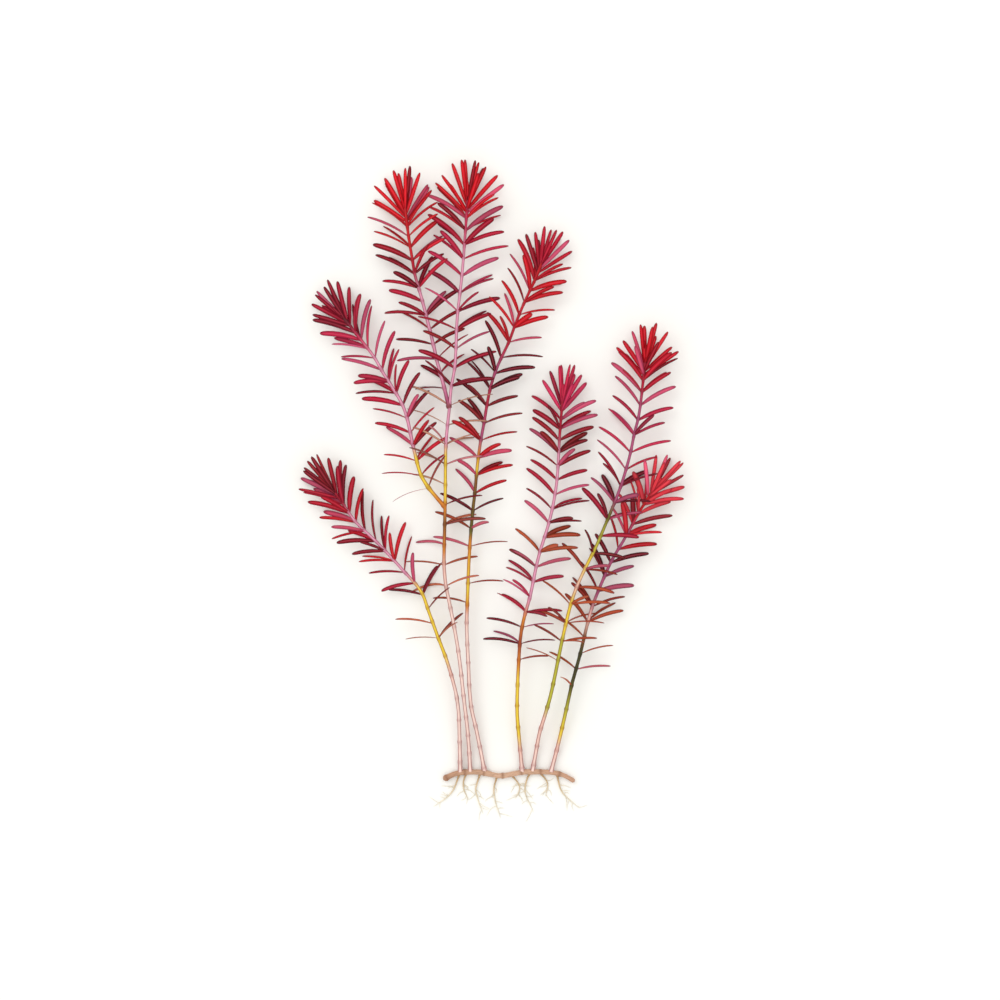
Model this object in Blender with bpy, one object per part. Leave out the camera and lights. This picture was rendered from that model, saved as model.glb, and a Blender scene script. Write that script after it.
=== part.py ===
"""Rotala, an aquarium stem plant, lifted with its roots and laid on its side.

One plant: a rooted runner carries six shoots, and two side shoots fork from the second of them. Each
shoot is a slender four-sided stem with whorls of up to four narrow leaves, which close up into a fan of
young leaves at its growing tip. Metres, +Z up. The plant rests on the plane Z = 0, with its shoots
towards +Y.
"""

import collections
import math
import random

import bmesh
import bpy
import numpy as np
from mathutils import Matrix, Vector
from mathutils.bvhtree import BVHTree

MM = 0.001
UP = Vector((0, 0, 1))
TOUCHING_GAP = 0.3 * MM

# Stems: half the width across the flats, from the foot of a shoot to its growing tip. No leaf of
# another shoot comes inside the clearance share of it.
STEM_HALF_FOOT = 1.0 * MM
STEM_HALF_TIP = 0.7 * MM
STEM_CLEARANCE_SHARE = 1.12
STEM_RING_SPACING = 11 * MM
RISE_LENGTH = 42 * MM

# Leaves: the size of a full-grown one, and the least height of its middle over the surface.
LEAF_LENGTH = 19.2 * MM
LEAF_WIDTH = 2.25 * MM
LEAF_TIP_SHARE = 0.42
LEAF_THICKNESS = 0.6 * MM
LEAF_MIDDLE = 0.5
LEAF_FOOT = 1.1 * MM
LEAF_ARCH_DEG = 26
LEAF_LEAST_HEIGHT = 0.45 * MM
NARROW_LEAF_SHARE = 0.6

# Whorls of full-grown leaves start this far below the growing tip. The upper and the lower leaf of a
# whorl lean to opposite sides, and change sides at each whorl.
FIRST_WHORL = 9.6 * MM
WHORL_LEAN_DEG = 38

# How the leaves change with age, from 0 below the crown to 1 on the lowest whorl.
AGE_PITCH_DEG = ((0, 0.3, 0.7, 1), (50, 58, 66, 80))
AGE_LENGTH_SHARE = ((0, 0.15, 0.6, 1), (1.06, 1, 0.96, 0.92))
AGE_WIDTH_SHARE = ((0, 0.5, 0.75, 1), (1.08, 1.02, 0.8, 0.55))
WIDEST_PITCH_DEG = 84
AGE_OF_FULL_WHORLS = 0.05
WHORLS_OF_FOUR_SHARE = 0.28
WHORLS_OF_THREE_SHARE = 0.5
AGE_OF_FIRST_LOSSES = 0.4
OLDEST_LOST_SHARE = 0.4

# The young leaves: three or four tight whorls, each wider open than the one above it. The innermost
# has four leaves, and each of the others three.
CROWN_FIRST = 1.4 * MM
CROWN_SPACING = 1.9 * MM
CROWN_FOOT = 0.8 * MM
CROWN_PITCH_DEG = (11, 26, 40, 51)

# The runner, which lies on the surface, and its roots.
RUNNER_RADIUS = 1.5 * MM
RUNNER_SIDES = 8
RUNNER_JOINTS = 6
RUNNER_RING_SPACING = 3.2 * MM
RUNNER_PRESSED = 0.3 * MM
ROOT_RADIUS = 0.5 * MM
ROOT_SIDES = 5
ROOT_RING_SPACING = 2.6 * MM

LEAF_RED = (0.62, 0.03, 0.05)
RUNNER_TAN = (0.55, 0.36, 0.18)
ROOT_CREAM = (0.80, 0.72, 0.58)

Shoot = collections.namedtuple("Shoot", "name parent height leafy whorls young leaf_share spread route seed")
Leaf = collections.namedtuple("Leaf", "section edge")
Whorl = collections.namedtuple("Whorl", "along foot leaves")

# A route is in millimetres as seen from above, from the foot of the shoot to its growing tip: x to the
# right of the middle of the runner, y away from it. A side shoot's route starts inside its parent.
# height is how far above the surface the shoot lies, leafy how long a stretch below its tip bears
# leaves, whorls how many whorls stand on that stretch, young how many tight ones of young leaves are
# above them, leaf_share the size of its leaves, and spread how many degrees wider they stand off the
# stem than on the other shoots.
SHOOTS = (
    Shoot("shoot_1", None, 6.6, 93, 13, 3, 0.98, -10, (
        (-21.5, 0), (-22, 25), (-22.6, 34), (-25, 44.5), (-29, 57.5), (-32, 65), (-37.6, 80.5),
        (-41, 90), (-47, 96.5), (-56, 106.5), (-66, 116.8), (-72.5, 122.5), (-77, 128.5),
        (-80.5, 134), (-85.5, 140.5)), 11),
    Shoot("shoot_2", None, 8.4, 194, 21, 4, 1.08, 8, (
        (-16.5, 0), (-17.5, 17.5), (-19.5, 35), (-22, 57.5), (-25, 75), (-27.6, 87.5), (-29.2, 96),
        (-29.5, 104), (-29.1, 123), (-28.8, 140), (-28.7, 158), (-28.1, 169), (-26.8, 180),
        (-26.2, 190), (-24.4, 197.5), (-23.5, 210), (-22.9, 226), (-20.5, 247), (-18.5, 273),
        (-17.6, 285.5)), 44),
    Shoot("side_shoot_1", "shoot_2", 7.6, 97, 14, 3, 1.0, -8, (
        (-28.9, 130.5), (-31.2, 134), (-34.5, 138), (-38, 142), (-40.3, 145.5), (-42.2, 150.5),
        (-43.9, 158), (-45.5, 164.5), (-47.2, 173), (-49, 180), (-52, 186), (-56, 192.5), (-59.7, 198),
        (-64, 206), (-69, 212.5), (-72.5, 217), (-76, 221.5), (-80, 226.5)), 22),
    Shoot("side_shoot_2", "shoot_2", 6.8, 93, 13, 4, 1.04, 2, (
        (-26.8, 180), (-28.6, 188), (-31, 197.5), (-33.6, 207), (-35.8, 216.5), (-39, 229.5),
        (-41.7, 239.5), (-44, 247), (-45.5, 256.5), (-47.2, 266.5), (-49, 281.5)), 33),
    Shoot("shoot_3", None, 6.8, 176, 21, 3, 0.98, 0, (
        (-9.5, 0), (-13, 18.5), (-15.5, 28), (-16.8, 40), (-17.4, 55), (-18.2, 70), (-17.9, 82),
        (-16.8, 109), (-15, 131), (-13.9, 140), (-12.9, 151.5), (-11.2, 164.5), (-9.2, 175),
        (-7.8, 184), (-5.6, 194), (-1.9, 204), (2.8, 213.5), (6.6, 224), (11.2, 235), (16, 245),
        (19.5, 254)), 55),
    Shoot("shoot_4", None, 7.2, 132, 18, 3, 0.92, 6, (
        (9.5, 0), (8.1, 15.5), (7.1, 26), (7.1, 38), (7.7, 51.5), (8.6, 65.5), (10.3, 75.5), (13.4, 86),
        (17.2, 104.5), (20, 114), (23.4, 125), (25.7, 136), (27.2, 147), (28.3, 167), (29.8, 185)), 66),
    Shoot("shoot_5", None, 8.4, 157, 18, 4, 0.98, 0, (
        (15, 0), (16.6, 9), (18.5, 19.5), (22, 30.5), (24.8, 41.7), (29.9, 66.7), (34.5, 85.5),
        (38.3, 95), (42.8, 104.5), (47, 112.5), (50.4, 121), (56.7, 136), (60.2, 146), (63.7, 158.5),
        (65.8, 169.5), (68.2, 179), (71, 204.5)), 77),
    Shoot("shoot_6", None, 6.6, 108, 14, 3, 0.94, -6, (
        (24.5, 0), (28.2, 14.5), (32.4, 33.5), (34.8, 44.5), (38, 55.5), (43.5, 78), (47, 88),
        (49.8, 94.5), (52.5, 101), (55.5, 107), (59, 112.5), (63, 119.5), (67, 127), (71.5, 134.5),
        (76, 141)), 88),
)

RUNNER_ROUTE = (
    (-30, -5.4), (-24, -2.4), (-16.5, -1.6), (-9.5, -1.9), (-2, -3.6), (4.5, -2.7), (9.5, -1.7),
    (16, -1.5), (24.5, -1.8), (31, -3.4), (36, -6.4))

# A root leaves the runner at x, and runs back over the surface: x, where it bends, where it ends.
ROOTS = (
    (-22.5, (-26, -12), (-35, -19)),
    (-19, (-20, -9), (-17, -15.5)),
    (-12, (-14, -11.5), (-10, -23)),
    (-3.5, (-5, -12), (-1.5, -25)),
    (5.5, (8.5, -9), (6, -15)),
    (13, (11, -11), (15, -22)),
    (20, (23, -8), (21.5, -14)),
    (27.5, (30, -12), (39, -20)),
)

# What a leaf tries, in turn, until it is clear of its neighbours: a turn round the stem, a change of
# its angle to the stem, and a share of its length.
SWINGS = (
    (0, 0, 1), (10, 0, 1), (-10, 0, 1), (0, -8, 1), (0, 8, 1), (20, 0, 1), (-20, 0, 1),
    (10, -12, 0.94), (-10, -12, 0.94), (32, 0, 0.92), (-32, 0, 0.92), (0, -16, 0.86),
    (0, 14, 0.86), (40, -8, 0.82), (-40, -8, 0.82), (0, 0, 0.7), (20, -10, 0.62), (-20, -10, 0.62),
)


class Line:
    """A smooth line through points, read by the distance along it."""

    def __init__(self, points):
        dense = []
        padded = [points[0] * 2 - points[1], *points, points[-1] * 2 - points[-2]]
        for a, b, c, d in zip(padded, padded[1:], padded[2:], padded[3:]):
            for t in np.linspace(0, 1, 16, endpoint=False):
                dense.append(0.5 * (2 * b + (c - a) * t + (2 * a - 5 * b + 4 * c - d) * t**2
                                    + (3 * b - a - 3 * c + d) * t**3))
        self.points = np.array([*dense, points[-1]])
        steps = np.linalg.norm(np.diff(self.points, axis=0), axis=1)
        self.along = np.concatenate([[0], np.cumsum(steps)])
        self.length = float(self.along[-1])

    def at(self, along):
        return Vector([float(np.interp(along, self.along, self.points[:, k])) for k in range(3)])

    def frame(self, along):
        """The point there, and the line's own forward, right and upward directions."""
        reach = 0.5 * MM
        low, high = max(along - reach, 0), min(along + reach, self.length)
        forward = (self.at(high) - self.at(low)).normalized()
        right = forward.cross(UP).normalized()
        return self.at(along), forward, right, right.cross(forward)

    def apart(self, point):
        """The distance from the point to the line."""
        return float(np.linalg.norm(self.points - np.array(point), axis=1).min())


class Space:
    """What is already in place, so that no new leaf cuts through it."""

    def __init__(self):
        self.trees = []
        self.centres = []
        self.radii = []
        self.tags = []

    def add(self, tag, points, faces):
        centre = sum(points, Vector()) / len(points)
        self.trees.append(BVHTree.FromPolygons(points, faces))
        self.centres.append(centre)
        self.radii.append(max((p - centre).length for p in points))
        self.tags.append(tag)

    def is_clear(self, points, faces, counts):
        """Whether the form is clear of all in place whose tag counts."""
        tree = BVHTree.FromPolygons(points, faces)
        centre = sum(points, Vector()) / len(points)
        radius = max((p - centre).length for p in points)
        apart = np.linalg.norm(np.array(self.centres) - np.array(centre), axis=1)
        near = np.nonzero(apart < np.array(self.radii) + radius)[0]
        return not any(counts(*self.tags[i]) and tree.overlap(self.trees[i]) for i in near)


def route_line(shoot, parent_height):
    """The centreline. It rises from the runner, or from its parent, to the height at which it lies."""
    flat = [Vector((x, y, 0)) * MM for x, y in shoot.route]
    run = 0
    raised = []
    for index, point in enumerate(flat):
        if index:
            run += (point - flat[index - 1]).length
        share = min(run / RISE_LENGTH, 1)
        ease = share * share * (3 - 2 * share)
        raised.append(point + UP * (parent_height + (shoot.height * MM - parent_height) * ease))
    return Line(raised)


def stem_half(line, along):
    return STEM_HALF_FOOT + (STEM_HALF_TIP - STEM_HALF_FOOT) * (along / line.length)


def ring(line, along, half):
    """The corners of a stem's square section. Its sides 0 to 3 are right, top, left and underside."""
    point, _, right, upward = line.frame(along)
    return [point + right * (half * x) + upward * (half * y)
            for x, y in ((1, -1), (1, 1), (-1, 1), (-1, -1))]


def clear_start(line, carrier, carrier_radius):
    """How far along the line a stem starts, so that its end face just clears what carries it."""
    along = 0
    while min(carrier.apart(p) for p in ring(line, along, stem_half(line, along))) < (
        carrier_radius + TOUCHING_GAP
    ):
        along += 0.1 * MM
    return along


def laid(start, end):
    """A point that would be too low is swung up about the start until the leaf lies on the surface."""
    if end.z >= LEAF_LEAST_HEIGHT:
        return end
    step = end - start
    drop = LEAF_LEAST_HEIGHT - start.z
    level = Vector((step.x, step.y, 0))
    run = math.sqrt(max(step.length_squared - drop * drop, 0))
    return start + level.normalized() * run + UP * drop


def shape_leaf(line, along, azimuth, pitch, arch, length, width, roll, margin=0):
    """The section at the middle of a leaf, and the edge at its tip.

    The leaf points out of the stem at azimuth, counted from the right over the top. It makes an angle
    of pitch with the stem, and arch bends it outwards. roll turns its blade from level. The section is
    a flat triangle: the two margins of the blade and its midrib, which stands out underneath.
    """
    start, forward, right, upward = line.frame(along)
    turn = math.radians(azimuth)
    out = right * math.cos(turn) + upward * math.sin(turn)

    def heading(degrees):
        angle = math.radians(degrees)
        return forward * math.cos(angle) + out * math.sin(angle)

    start = start + out * stem_half(line, along)
    middle = laid(start, start + heading(pitch - arch / 4) * (length * LEAF_MIDDLE))
    tip = laid(middle, middle + heading(pitch + arch / 4) * (length * (1 - LEAF_MIDDLE)))
    along_leaf = (tip - start).normalized()
    steepest = math.asin(min(middle.z / (width / 2), 1) * 0.8)
    roll = max(-steepest, min(steepest, math.radians(roll)))
    across = Matrix.Rotation(roll, 3, along_leaf) @ UP.cross(along_leaf).normalized()
    under = along_leaf.cross(across)
    under = -under if under.z > 0 else under
    midrib = middle + under * (LEAF_THICKNESS + margin)
    midrib.z = max(midrib.z, 0)
    half = width / 2 + margin
    far = tip + (tip - middle).normalized() * margin
    reach = across * (half * LEAF_TIP_SHARE)
    margins = middle + across * half - under * margin, middle - across * half - under * margin
    return Leaf([margins[0], margins[1], midrib], [far + reach, far - reach])


def outer_half_faces(a, b, rib, tip_a, tip_b):
    """The blade from its section to the edge at its tip."""
    return [(a, b, tip_b), (a, tip_b, tip_a), (rib, a, tip_a), (rib, tip_a, tip_b), (rib, tip_b, b)]


def inner_half_faces(foot, a, b, rib):
    """The blade from the square that it grows from to its section."""
    p, q, r, s = foot
    return [(p, q, b), (p, b, a), (q, r, rib), (q, rib, b), (r, s, rib), (s, p, a), (s, a, rib)]


def least_twisted(foot, leaf):
    """The foot's corners and the leaf's, in the orders that join them with the least twist."""
    a, b, rib = leaf.section
    base = sum(foot, Vector()) / 4
    middle = (a + b + rib) / 3
    aims = [(p - middle).normalized() for p in (a, b, rib)]

    def twist(order):
        legs = [(p - base).normalized() for p in order]
        return (legs[0] - aims[0]).length + (legs[1] - aims[1]).length + (
            (legs[2] + legs[3]).normalized() - aims[2]).length

    turned = [foot[k:] + foot[:k] for k in range(4)]
    return min(turned + [order[::-1] for order in turned], key=twist)


def leaf_form(foot, leaf):
    """A closed form of the whole leaf, for the test against other shoots."""
    points = [*least_twisted(foot, leaf), *leaf.section, *leaf.edge]
    faces = inner_half_faces((0, 1, 2, 3), 4, 5, 6) + outer_half_faces(4, 5, 6, 7, 8)
    return points, [*faces, (0, 1, 2, 3)]


def slender_form(start, leaf):
    """The leaf from just clear of the stem, for the test against the leaves of its own shoot."""
    base = start + (sum(leaf.section, Vector()) / 3 - start) * 0.12
    points = [base, *leaf.section, *leaf.edge]
    return points, [(0, 1, 2), (0, 2, 3), (0, 3, 1), *outer_half_faces(1, 2, 3, 4, 5)]


def foot_of(line, along, half, side, length):
    """The corners of the face that a leaf grows from, on one side of the stem."""
    lower, upper = (ring(line, along + step * length / 2, half) for step in (-1, 1))
    after = (side + 1) % 4
    return [lower[side], lower[after], upper[after], upper[side]]


def place_leaf(space, shoot, line, along, side, foot, **shape):
    """The first swing of the leaf that is clear of all that is in place, or None."""
    start = line.at(along)
    corners = foot_of(line, along, stem_half(line, along), side, foot)
    for turn, tilt, share in SWINGS:
        swung = dict(shape, azimuth=shape["azimuth"] + turn, pitch=shape["pitch"] + tilt,
                     length=shape["length"] * share)
        leaf = shape_leaf(line, along, **swung)
        wide = shape_leaf(line, along, margin=TOUCHING_GAP, **swung)
        slender = slender_form(start, leaf)
        if space.is_clear(
            *slender, lambda name, kind: name == shoot.name and kind == "slender"
        ) and space.is_clear(
            *leaf_form(corners, wide), lambda name, kind: name != shoot.name and kind != "slender"
        ):
            space.add((shoot.name, "slender"), *slender)
            space.add((shoot.name, "leaf"), *leaf_form(corners, leaf))
            return leaf
    return None


def crown_whorls(shoot, line, space):
    """The young leaves at the growing tip, from the tip down."""
    chance = random.Random(shoot.seed + 1)
    whorls = []
    for number, pitch in enumerate(CROWN_PITCH_DEG[:shoot.young]):
        along = line.length - CROWN_FIRST - CROWN_SPACING * number
        bare_side = chance.choice((1, 3)) if number else None
        leaves = {}
        for side in range(4):
            if side == bare_side:
                continue
            azimuth = side * 90 + (26 if number % 2 else -20) + chance.uniform(-6, 6)
            leaf = place_leaf(
                space, shoot, line, along, side, CROWN_FOOT,
                azimuth=azimuth,
                pitch=pitch + (4 if side % 2 else 0) + chance.uniform(-3, 3),
                arch=6,
                length=LEAF_LENGTH * shoot.leaf_share * chance.uniform(0.98, 1.14),
                width=LEAF_WIDTH * chance.uniform(0.9, 1.12),
                roll=chance.uniform(-40, 40),
            )
            if leaf:
                leaves[side] = leaf
        whorls.append(Whorl(along, CROWN_FOOT, leaves))
    return whorls


def by_age(age, shares):
    """What a share is at an age, from the ages and the values that are given for it."""
    return float(np.interp(age, *shares))


def kept_sides(chance, age):
    """The sides of the stem that still bear a leaf. Most whorls have lost the upper or the lower one."""
    fate = chance.random()
    if fate < WHORLS_OF_FOUR_SHARE or age < AGE_OF_FULL_WHORLS:
        sides = (0, 1, 2, 3)
    elif fate < WHORLS_OF_FOUR_SHARE + WHORLS_OF_THREE_SHARE:
        sides = (0, chance.choice((1, 3)), 2)
    else:
        sides = (0, 2)
    lost_share = OLDEST_LOST_SHARE * max(age - AGE_OF_FIRST_LOSSES, 0) / (1 - AGE_OF_FIRST_LOSSES)
    return [side for side in sides if chance.random() > lost_share]


def stem_whorls(shoot, line, space):
    """The full-grown leaves, from the crown down. The oldest are shorter, droop and have gaps."""
    chance = random.Random(shoot.seed)
    growth = np.cumsum(np.interp(np.linspace(0, 1, shoot.whorls), (0, 0.3, 1), (0.62, 1, 1.12)))
    ages = (growth - growth[0]) / (growth[-1] - growth[0])
    whorls = []
    for number, age in enumerate(map(float, ages)):
        along = line.length - FIRST_WHORL - age * (shoot.leafy * MM - FIRST_WHORL)
        lean = WHORL_LEAN_DEG if number % 2 else -WHORL_LEAN_DEG
        kept = kept_sides(chance, age)
        pitch = min(by_age(age, AGE_PITCH_DEG) + shoot.spread, WIDEST_PITCH_DEG)
        length = LEAF_LENGTH * shoot.leaf_share * by_age(age, AGE_LENGTH_SHARE)
        width = LEAF_WIDTH * by_age(age, AGE_WIDTH_SHARE)
        leaves = {}
        for side, azimuth in enumerate((0, 90 + lean, 180, 270 + lean)):
            shape = dict(
                azimuth=azimuth + chance.uniform(-12, 12),
                pitch=pitch + chance.uniform(-8, 8),
                arch=LEAF_ARCH_DEG,
                length=length * chance.uniform(0.86, 1.1),
                width=width * chance.uniform(0.86, 1.12) * chance.choice((1, 1, NARROW_LEAF_SHARE)),
                roll=chance.uniform(-45, 45),
            )
            leaf = None
            if side in kept:
                leaf = place_leaf(space, shoot, line, along, side, LEAF_FOOT, **shape)
            if leaf:
                leaves[side] = leaf
        whorls.append(Whorl(along, LEAF_FOOT, leaves))
    return whorls


def add_leaf(bm, foot, leaf):
    """Grows a leaf on one side of the stem, in place of the stem's own face there."""
    by_corner = {tuple(v.co): v for v in foot}
    order = [by_corner[tuple(p)] for p in least_twisted([v.co for v in foot], leaf)]
    a, b, rib = (bm.verts.new(p) for p in leaf.section)
    tip_a, tip_b = (bm.verts.new(p) for p in leaf.edge)
    for corners in inner_half_faces(order, a, b, rib) + outer_half_faces(a, b, rib, tip_a, tip_b):
        bm.faces.new(corners)


def make_shoot(shoot, line, start, whorls):
    """The stem from its foot to its growing tip, with all its leaves in one closed mesh."""
    stations = [(start, stem_half(line, start), None)]
    for whorl in sorted(whorls, key=lambda whorl: whorl.along):
        low, high = whorl.along - whorl.foot / 2, whorl.along + whorl.foot / 2
        previous = stations[-1][0]
        between = int((low - previous) / STEM_RING_SPACING)
        for k in range(between):
            along = previous + (low - previous) * (k + 1) / (between + 1)
            stations.append((along, stem_half(line, along), None))
        half = stem_half(line, whorl.along)
        stations.append((low, half, whorl))
        stations.append((high, half, None))
    bm = bmesh.new()
    rings = [[bm.verts.new(p) for p in ring(line, along, half)] for along, half, _ in stations]
    bm.faces.new(rings[0])
    for (_, _, whorl), lower, upper in zip(stations, rings, rings[1:]):
        for side in range(4):
            after = (side + 1) % 4
            corners = [lower[side], lower[after], upper[after], upper[side]]
            if whorl and side in whorl.leaves:
                add_leaf(bm, corners, whorl.leaves[side])
            else:
                bm.faces.new(corners)
    bud = bm.verts.new(line.at(line.length))
    for side in range(4):
        bm.faces.new((rings[-1][side], rings[-1][(side + 1) % 4], bud))
    add_object(shoot.name, bm, "rotala shoot", LEAF_RED)


def runner_radius(share):
    """The runner thins a little towards its young end, and swells at its joints."""
    joint = max(0, math.cos(share * math.tau * RUNNER_JOINTS)) ** 4
    return RUNNER_RADIUS * (0.86 - 0.16 * share**3 + 0.14 * joint)


def runner_line():
    return Line([Vector((x * MM, y * MM, RUNNER_RADIUS * 0.9)) for x, y in RUNNER_ROUTE])


def make_tube(name, line, radius_at, spacing, sides, pressed, surface, colour):
    """A round tube along a line, closed at both ends. What is lower than pressed lies flat on Z = 0."""
    count = max(int(line.length / spacing), 2)
    bm = bmesh.new()
    rings = []
    for k in range(count + 1):
        point, _, right, upward = line.frame(line.length * k / count)
        radius = radius_at(k / count)
        turns = [math.tau * (j + 0.5) / sides for j in range(sides)]
        corners = [point + (right * math.cos(t) + upward * math.sin(t)) * radius for t in turns]
        for corner in corners:
            corner.z = 0 if corner.z < pressed else corner.z
        rings.append([bm.verts.new(p) for p in corners])
    for lower, upper in zip(rings, rings[1:]):
        for j in range(sides):
            after = (j + 1) % sides
            bm.faces.new((lower[j], lower[after], upper[after], upper[j]))
    bm.faces.new(rings[0])
    bm.faces.new(rings[-1])
    add_object(name, bm, surface, colour)


def make_roots():
    """Thin roots. Each starts beside the runner and comes down to the surface."""
    clear = RUNNER_RADIUS + TOUCHING_GAP + 0.3 * MM
    xs, ys = zip(*RUNNER_ROUTE)
    for number, (x, bend, end) in enumerate(ROOTS, 1):
        start = Vector((x * MM, float(np.interp(x, xs, ys)) * MM - clear, RUNNER_RADIUS * 0.7))
        line = Line([start, Vector((bend[0] * MM, bend[1] * MM, ROOT_RADIUS)),
                     Vector((end[0] * MM, end[1] * MM, ROOT_RADIUS * 0.6))])
        make_tube(f"root_{number}", line, lambda share: ROOT_RADIUS * (1 - 0.5 * share),
                  ROOT_RING_SPACING, ROOT_SIDES, 0, "rotala root", ROOT_CREAM)


def surface_material(name, colour):
    material = bpy.data.materials.get(name) or bpy.data.materials.new(name)
    material.use_nodes = True
    shader = material.node_tree.nodes["Principled BSDF"]
    shader.inputs["Base Color"].default_value = (*colour, 1)
    shader.inputs["Roughness"].default_value = 0.45
    shader.inputs["Metallic"].default_value = 0
    return material


def add_object(name, bm, surface, colour):
    """Puts the closed mesh in the scene, with its faces pointing out."""
    bmesh.ops.recalc_face_normals(bm, faces=bm.faces[:])
    mesh = bpy.data.meshes.new(name)
    bm.to_mesh(mesh)
    bm.free()
    mesh.materials.append(surface_material(surface, colour))
    bpy.context.scene.collection.objects.link(bpy.data.objects.new(name, mesh))


def fill_with_stem(space, shoot, line, start):
    """Puts a shoot's stem in the space, as a row of short closed blocks."""
    count = int((line.length - start) / (4 * MM))
    marks = [start + (line.length - start) * k / count for k in range(count + 1)]
    walls = [(k, (k + 1) % 4, (k + 1) % 4 + 4, k + 4) for k in range(4)]
    for low, high in zip(marks, marks[1:]):
        half = stem_half(line, low) * STEM_CLEARANCE_SHARE
        points = ring(line, low, half) + ring(line, high, half)
        space.add((shoot.name, "stem"), points, [(0, 1, 2, 3), (4, 5, 6, 7), *walls])


def centre_on_origin():
    """Moves every mesh so that the plant stands centred on the origin, on Z = 0."""
    meshes = [obj.data for obj in bpy.context.scene.objects if obj.type == "MESH"]
    corners = np.array([v.co for mesh in meshes for v in mesh.vertices])
    low, high = corners.min(axis=0), corners.max(axis=0)
    middle = (low + high) / 2
    for mesh in meshes:
        mesh.transform(Matrix.Translation((-middle[0], -middle[1], -low[2])))


def main():
    for old in list(bpy.data.objects):
        bpy.data.objects.remove(old)
    heights = {shoot.name: shoot.height * MM for shoot in SHOOTS}
    runner = runner_line()
    space = Space()
    lines = {}
    starts = {}
    for shoot in SHOOTS:
        line = route_line(shoot, heights.get(shoot.parent, RUNNER_RADIUS))
        carrier = lines.get(shoot.parent, runner)
        carrier_radius = STEM_HALF_FOOT * 1.2 if shoot.parent else RUNNER_RADIUS
        lines[shoot.name] = line
        starts[shoot.name] = clear_start(line, carrier, carrier_radius)
        fill_with_stem(space, shoot, line, starts[shoot.name])
    crowns = {shoot.name: crown_whorls(shoot, lines[shoot.name], space) for shoot in SHOOTS}
    for shoot in SHOOTS:
        line = lines[shoot.name]
        whorls = crowns[shoot.name] + stem_whorls(shoot, line, space)
        make_shoot(shoot, line, starts[shoot.name], whorls)
    make_tube("runner", runner, runner_radius, RUNNER_RING_SPACING, RUNNER_SIDES, RUNNER_PRESSED,
              "rotala runner", RUNNER_TAN)
    make_roots()
    centre_on_origin()


main()
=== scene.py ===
"""A rotala clump, lifted with its roots and laid on a table: the looks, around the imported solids.

Every stem, leaf, runner and root is grown along a line that is read from its solid in the frame. The
rootlets and the innermost bud leaves grow from those lines.
"""

import math
import random

import bmesh
import bpy
import numpy as np
from mathutils import Matrix, Vector


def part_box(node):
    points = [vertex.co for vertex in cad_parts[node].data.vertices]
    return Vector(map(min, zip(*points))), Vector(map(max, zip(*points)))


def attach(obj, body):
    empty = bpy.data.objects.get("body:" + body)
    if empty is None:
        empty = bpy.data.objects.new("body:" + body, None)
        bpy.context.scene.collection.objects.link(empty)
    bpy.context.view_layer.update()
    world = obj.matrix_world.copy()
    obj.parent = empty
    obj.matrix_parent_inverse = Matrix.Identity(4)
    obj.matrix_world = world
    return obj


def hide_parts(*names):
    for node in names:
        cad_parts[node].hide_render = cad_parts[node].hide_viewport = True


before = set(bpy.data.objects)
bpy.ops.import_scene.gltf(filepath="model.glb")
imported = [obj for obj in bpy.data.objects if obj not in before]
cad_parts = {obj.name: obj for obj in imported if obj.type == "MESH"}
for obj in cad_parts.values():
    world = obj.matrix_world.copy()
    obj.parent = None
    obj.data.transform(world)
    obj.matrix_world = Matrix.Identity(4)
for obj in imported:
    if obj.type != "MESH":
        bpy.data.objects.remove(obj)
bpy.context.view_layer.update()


# The table, the light and the camera
# The clump lies on a plain pale table top of matt laminate, under the even light of a photographer's
# tent with one large soft lamp at the upper left. The camera hangs straight above the clump.

MM = 0.001
TABLE_REACH = 6.0
TABLE_EDGES = 96
TABLE_DROP = 0.1 * MM
TABLE_PALE = "F1F0EB"
TABLE_MOTTLE_MM = 35
TABLE_MOTTLE_SHARE = 0.985
TENT_STRENGTH = 1.12
LAMP_WATTS = 9
LAMP_WIDTH = 1.3
LAMP_PLACE = (-1.05, 0.95, 1.55)
LENS_MM = 90
SENSOR_MM = 36
NEAREST_AND_FURTHEST_SEEN = (0.05, 30)
VIEW_WIDTH = 0.5
VIEW_MIDDLE = (3.83 * MM, -5.46 * MM)
SHOOTS_LIE_AT = 7 * MM


def linear(hex_colour):
    """An sRGB hex colour as linear light."""
    shares = [int(hex_colour[k:k + 2], 16) / 255 for k in (0, 2, 4)]
    return [c / 12.92 if c <= 0.04045 else ((c + 0.055) / 1.055) ** 2.4 for c in shares]


def add_node(tree, kind, inputs=None, **settings):
    """Adds a node with its settings. Each input is set to a value, or linked if it is given a socket."""
    node = tree.nodes.new(kind)
    for name, value in settings.items():
        setattr(node, name, value)
    for name, value in (inputs or {}).items():
        if isinstance(value, bpy.types.NodeSocket):
            tree.links.new(value, node.inputs[name])
        else:
            node.inputs[name].default_value = value
    return node


def new_surface(name):
    """A material with only a shader in it: the material, its node tree and the shader."""
    material = bpy.data.materials.new(name)
    material.use_nodes = True
    tree = material.node_tree
    return material, tree, tree.nodes["Principled BSDF"]


# Matt laminate: no gloss, and a mottle so faint that the eye reads it as paper-like.
table_laminate, tree, shader = new_surface("matt_laminate")
place = add_node(tree, "ShaderNodeTexCoord").outputs["Object"]
mottle = add_node(tree, "ShaderNodeTexNoise", {
    "Vector": place, "Scale": 1000 / TABLE_MOTTLE_MM, "Detail": 3}).outputs["Fac"]
pale = linear(TABLE_PALE)
shade = add_node(tree, "ShaderNodeMix", {
    0: mottle, 6: [*(c * TABLE_MOTTLE_SHARE for c in pale), 1], 7: [*pale, 1]}, data_type="RGBA").outputs[2]
tree.links.new(shade, shader.inputs["Base Color"])
shader.inputs["Roughness"].default_value = 0.9
shader.inputs["Specular IOR Level"].default_value = 0.1

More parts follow.
